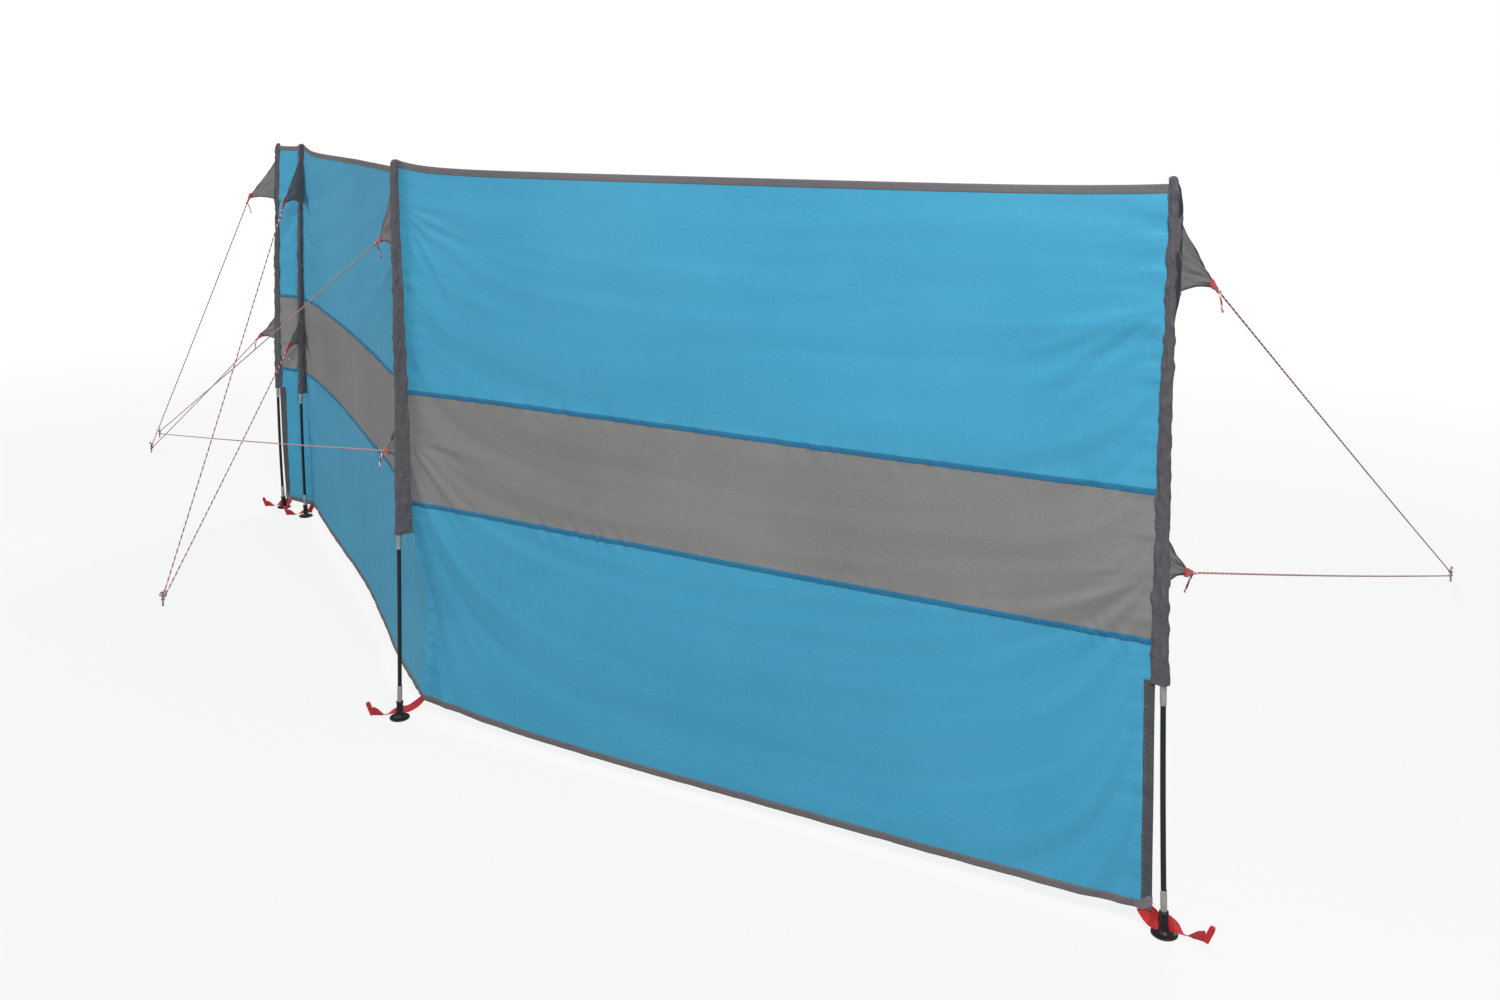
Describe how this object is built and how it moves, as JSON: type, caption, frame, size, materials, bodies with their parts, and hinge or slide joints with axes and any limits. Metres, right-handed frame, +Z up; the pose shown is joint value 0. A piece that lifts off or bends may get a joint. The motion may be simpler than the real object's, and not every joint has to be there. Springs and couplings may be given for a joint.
{
  "type": "beach windbreak",
  "caption": "Beach windbreak: upright jointed poles in cloth sleeves carry bays of banded cloth, with webbing straps at the feet and pegged guy ropes.",
  "frame": {"origin": "on the ground, under the centre of the corner pole's foot", "axes": "+X along the long front bay to the right end pole, +Y to the rear, +Z up"},
  "size_m": [5.7423, 2.5857, 1.5],
  "materials": {
    "blue_cloth": "woven polyester-cotton, dyed blue, matt",
    "grey_cloth": "woven polyester-cotton, dyed grey, matt",
    "seam_tape": "narrow woven tape, dark blue, stitched",
    "grey_binding": "folded woven binding, grey, stitched",
    "sleeve_cloth": "heavy woven cloth, dark grey",
    "red_webbing": "flat woven webbing, red",
    "guy_rope": "braided cord, red with white and black flecks",
    "black_rod": "pultruded glass-fibre rod, black, satin",
    "silver_ferrule": "drawn tube, satin",
    "black_foot": "moulded plastic, black, satin",
    "steel_peg": "bent wire, galvanised"
  },
  "bodies": {
    "root": {"bay_1_band": "grey_cloth", "bay_1_binding": "grey_binding", "bay_1_lower": "blue_cloth", "bay_1_seam_tapes": "seam_tape", "bay_1_upper": "blue_cloth", "bay_2_band": "grey_cloth", "bay_2_binding": "grey_binding", "bay_2_lower": "blue_cloth", "bay_2_seam_tapes": "seam_tape", "bay_2_upper": "blue_cloth", "bay_3_band": "grey_cloth", "bay_3_binding": "grey_binding", "bay_3_lower": "blue_cloth", "bay_3_seam_tapes": "seam_tape", "bay_3_upper": "blue_cloth", "guy_pegs": "steel_peg", "guy_tabs": "red_webbing", "pole_1_ferrules": "silver_ferrule", "pole_1_foot": "black_foot", "pole_1_gussets": "sleeve_cloth", "pole_1_guy_ropes": "guy_rope", "pole_1_rods": "black_rod", "pole_1_sleeve": "sleeve_cloth", "pole_1_strap": "red_webbing", "pole_2_ferrules": "silver_ferrule", "pole_2_foot": "black_foot", "pole_2_gussets": "sleeve_cloth", "pole_2_guy_ropes": "guy_rope", "pole_2_rods": "black_rod", "pole_2_sleeve": "sleeve_cloth", "pole_2_strap": "red_webbing", "pole_3_ferrules": "silver_ferrule", "pole_3_foot": "black_foot", "pole_3_gussets": "sleeve_cloth", "pole_3_guy_ropes": "guy_rope", "pole_3_rods": "black_rod", "pole_3_sleeve": "sleeve_cloth", "pole_3_strap": "red_webbing", "pole_4_ferrules": "silver_ferrule", "pole_4_foot": "black_foot", "pole_4_gussets": "sleeve_cloth", "pole_4_guy_ropes": "guy_rope", "pole_4_rods": "black_rod", "pole_4_sleeve": "sleeve_cloth", "pole_4_strap": "red_webbing"}
  },
  "joints": []
}
